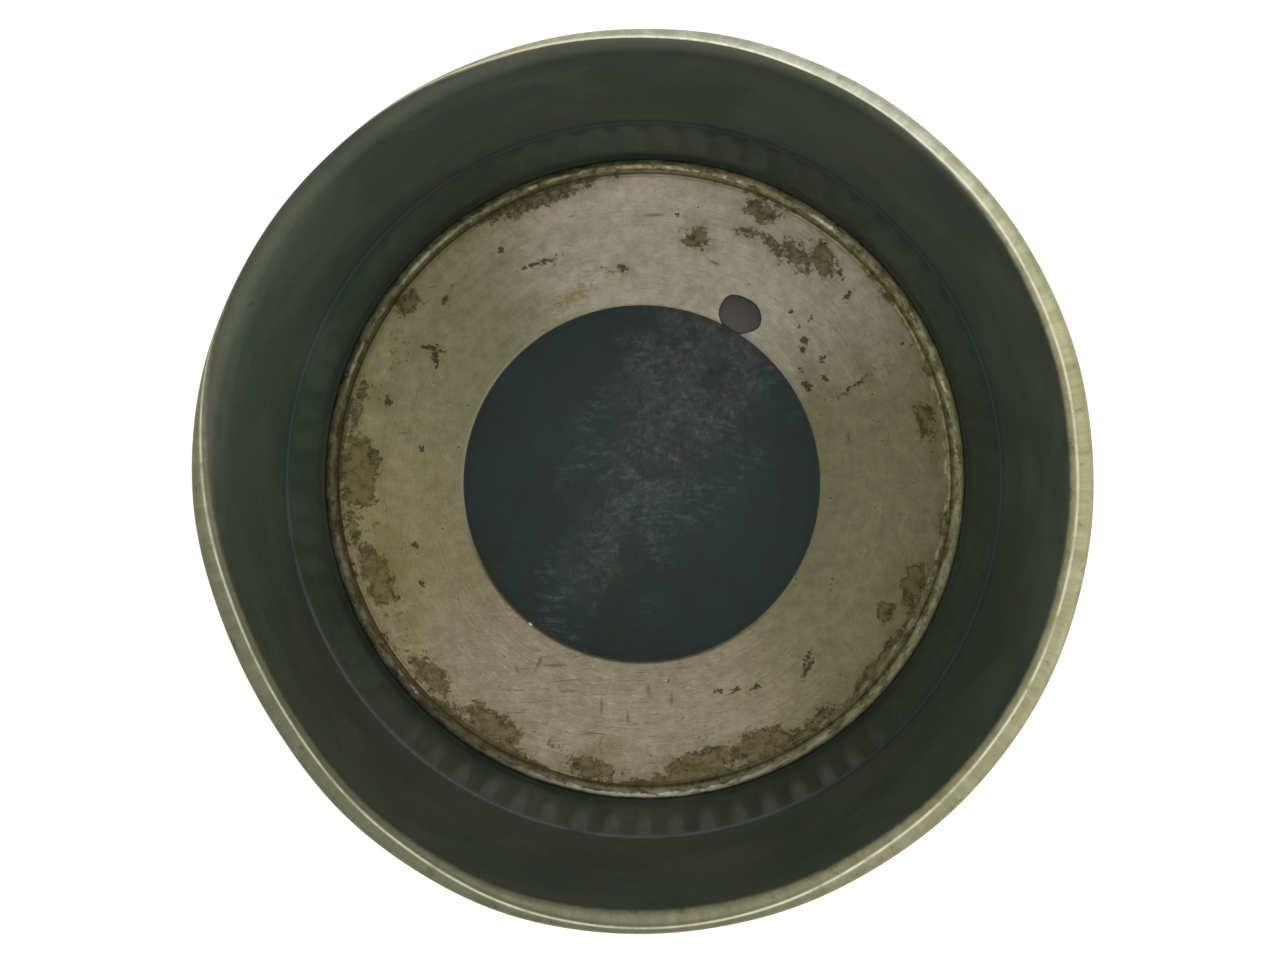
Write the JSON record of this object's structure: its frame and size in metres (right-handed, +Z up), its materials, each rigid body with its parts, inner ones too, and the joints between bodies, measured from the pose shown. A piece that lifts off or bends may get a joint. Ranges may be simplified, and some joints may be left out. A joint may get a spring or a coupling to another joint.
{
  "type": "candle tin",
  "caption": "Open round sheet-metal candle tin with a wired rolled rim, a reeded band above its foot, and a pressed-in floor tray with a soldered seat disc.",
  "frame": {"origin": "centre of the foot on the resting plane, on the wall's axis", "axes": "+Z up along the wall's axis, out of the mouth; +X and +Y level, with the seat disc's solder tack in the +X +Y quarter"},
  "size_m": [0.079, 0.0792, 0.052],
  "materials": {
    "tarnished_wall": "tarnished tinplate, brushed khaki grey outside, dark oxidised inside, worn bright on the rim",
    "wire_steel": "drawn steel wire, dull",
    "tinned_floor": "worn tinplate with olive-brown corrosion stains and fine turning marks",
    "solder": "dull soft solder",
    "dark_disc": "dark oxidised sheet with spun texture and rubbed scratches",
    "solder_dark": "smooth dark grey solder"
  },
  "bodies": {
    "root": {"body_wall": "tarnished_wall", "rim_wire": "wire_steel", "floor_tray": "tinned_floor", "tray_solder": "solder", "centre_disc": "dark_disc", "solder_tack": "solder_dark"}
  },
  "joints": []
}
